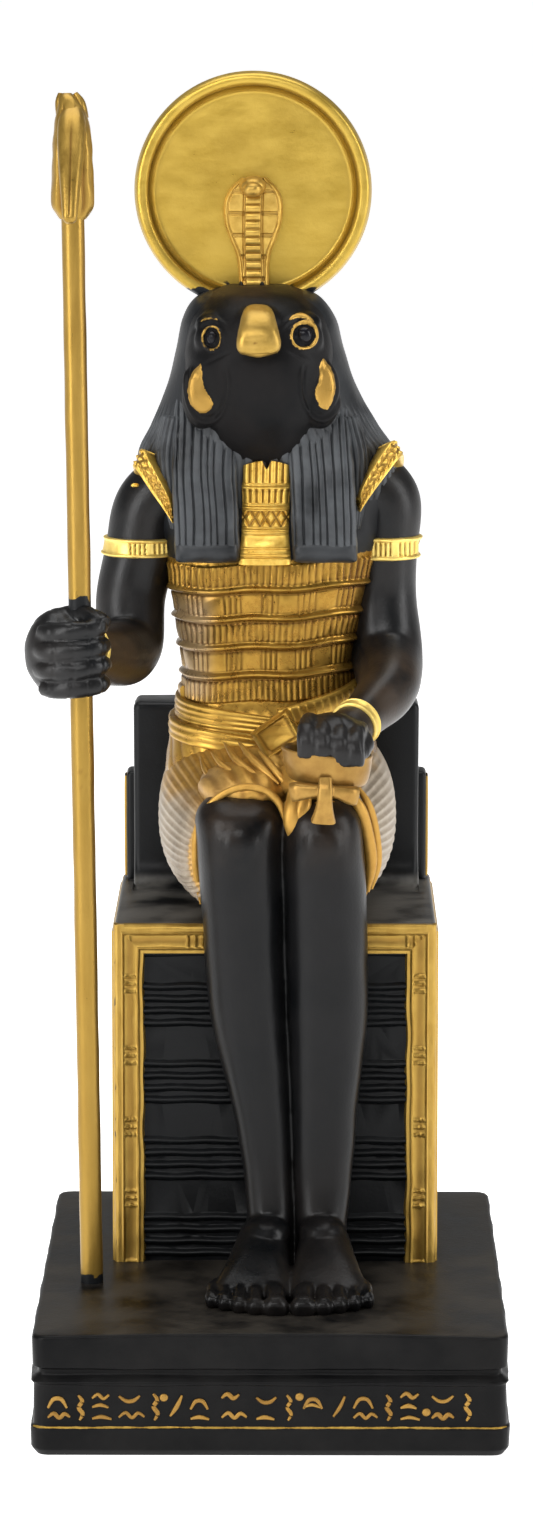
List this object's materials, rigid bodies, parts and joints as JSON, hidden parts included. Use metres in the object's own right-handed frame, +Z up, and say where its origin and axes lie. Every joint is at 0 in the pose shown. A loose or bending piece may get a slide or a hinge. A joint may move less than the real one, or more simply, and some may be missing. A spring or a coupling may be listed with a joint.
{
  "type": "falcon god figurine",
  "caption": "Tabletop figurine of a falcon-headed god seated on a block throne, with a sun disc and cobra on the head, a looped cross in one fist and a tall sceptre in the other.",
  "frame": {"origin": "the middle of the plinth's underside", "axes": "+Z up from the underside to the sun disc, -Y the way the figure looks, +X to the figure's left hand"},
  "size_m": [0.0993, 0.128, 0.2766],
  "materials": {
    "black_resin": "satin black paint with gilt ornament and cream cloth",
    "gilt_rod": "brushed-on gold paint"
  },
  "bodies": {
    "root": {"seated_falcon_figure": "black_resin", "was_sceptre": "gilt_rod"}
  },
  "joints": []
}
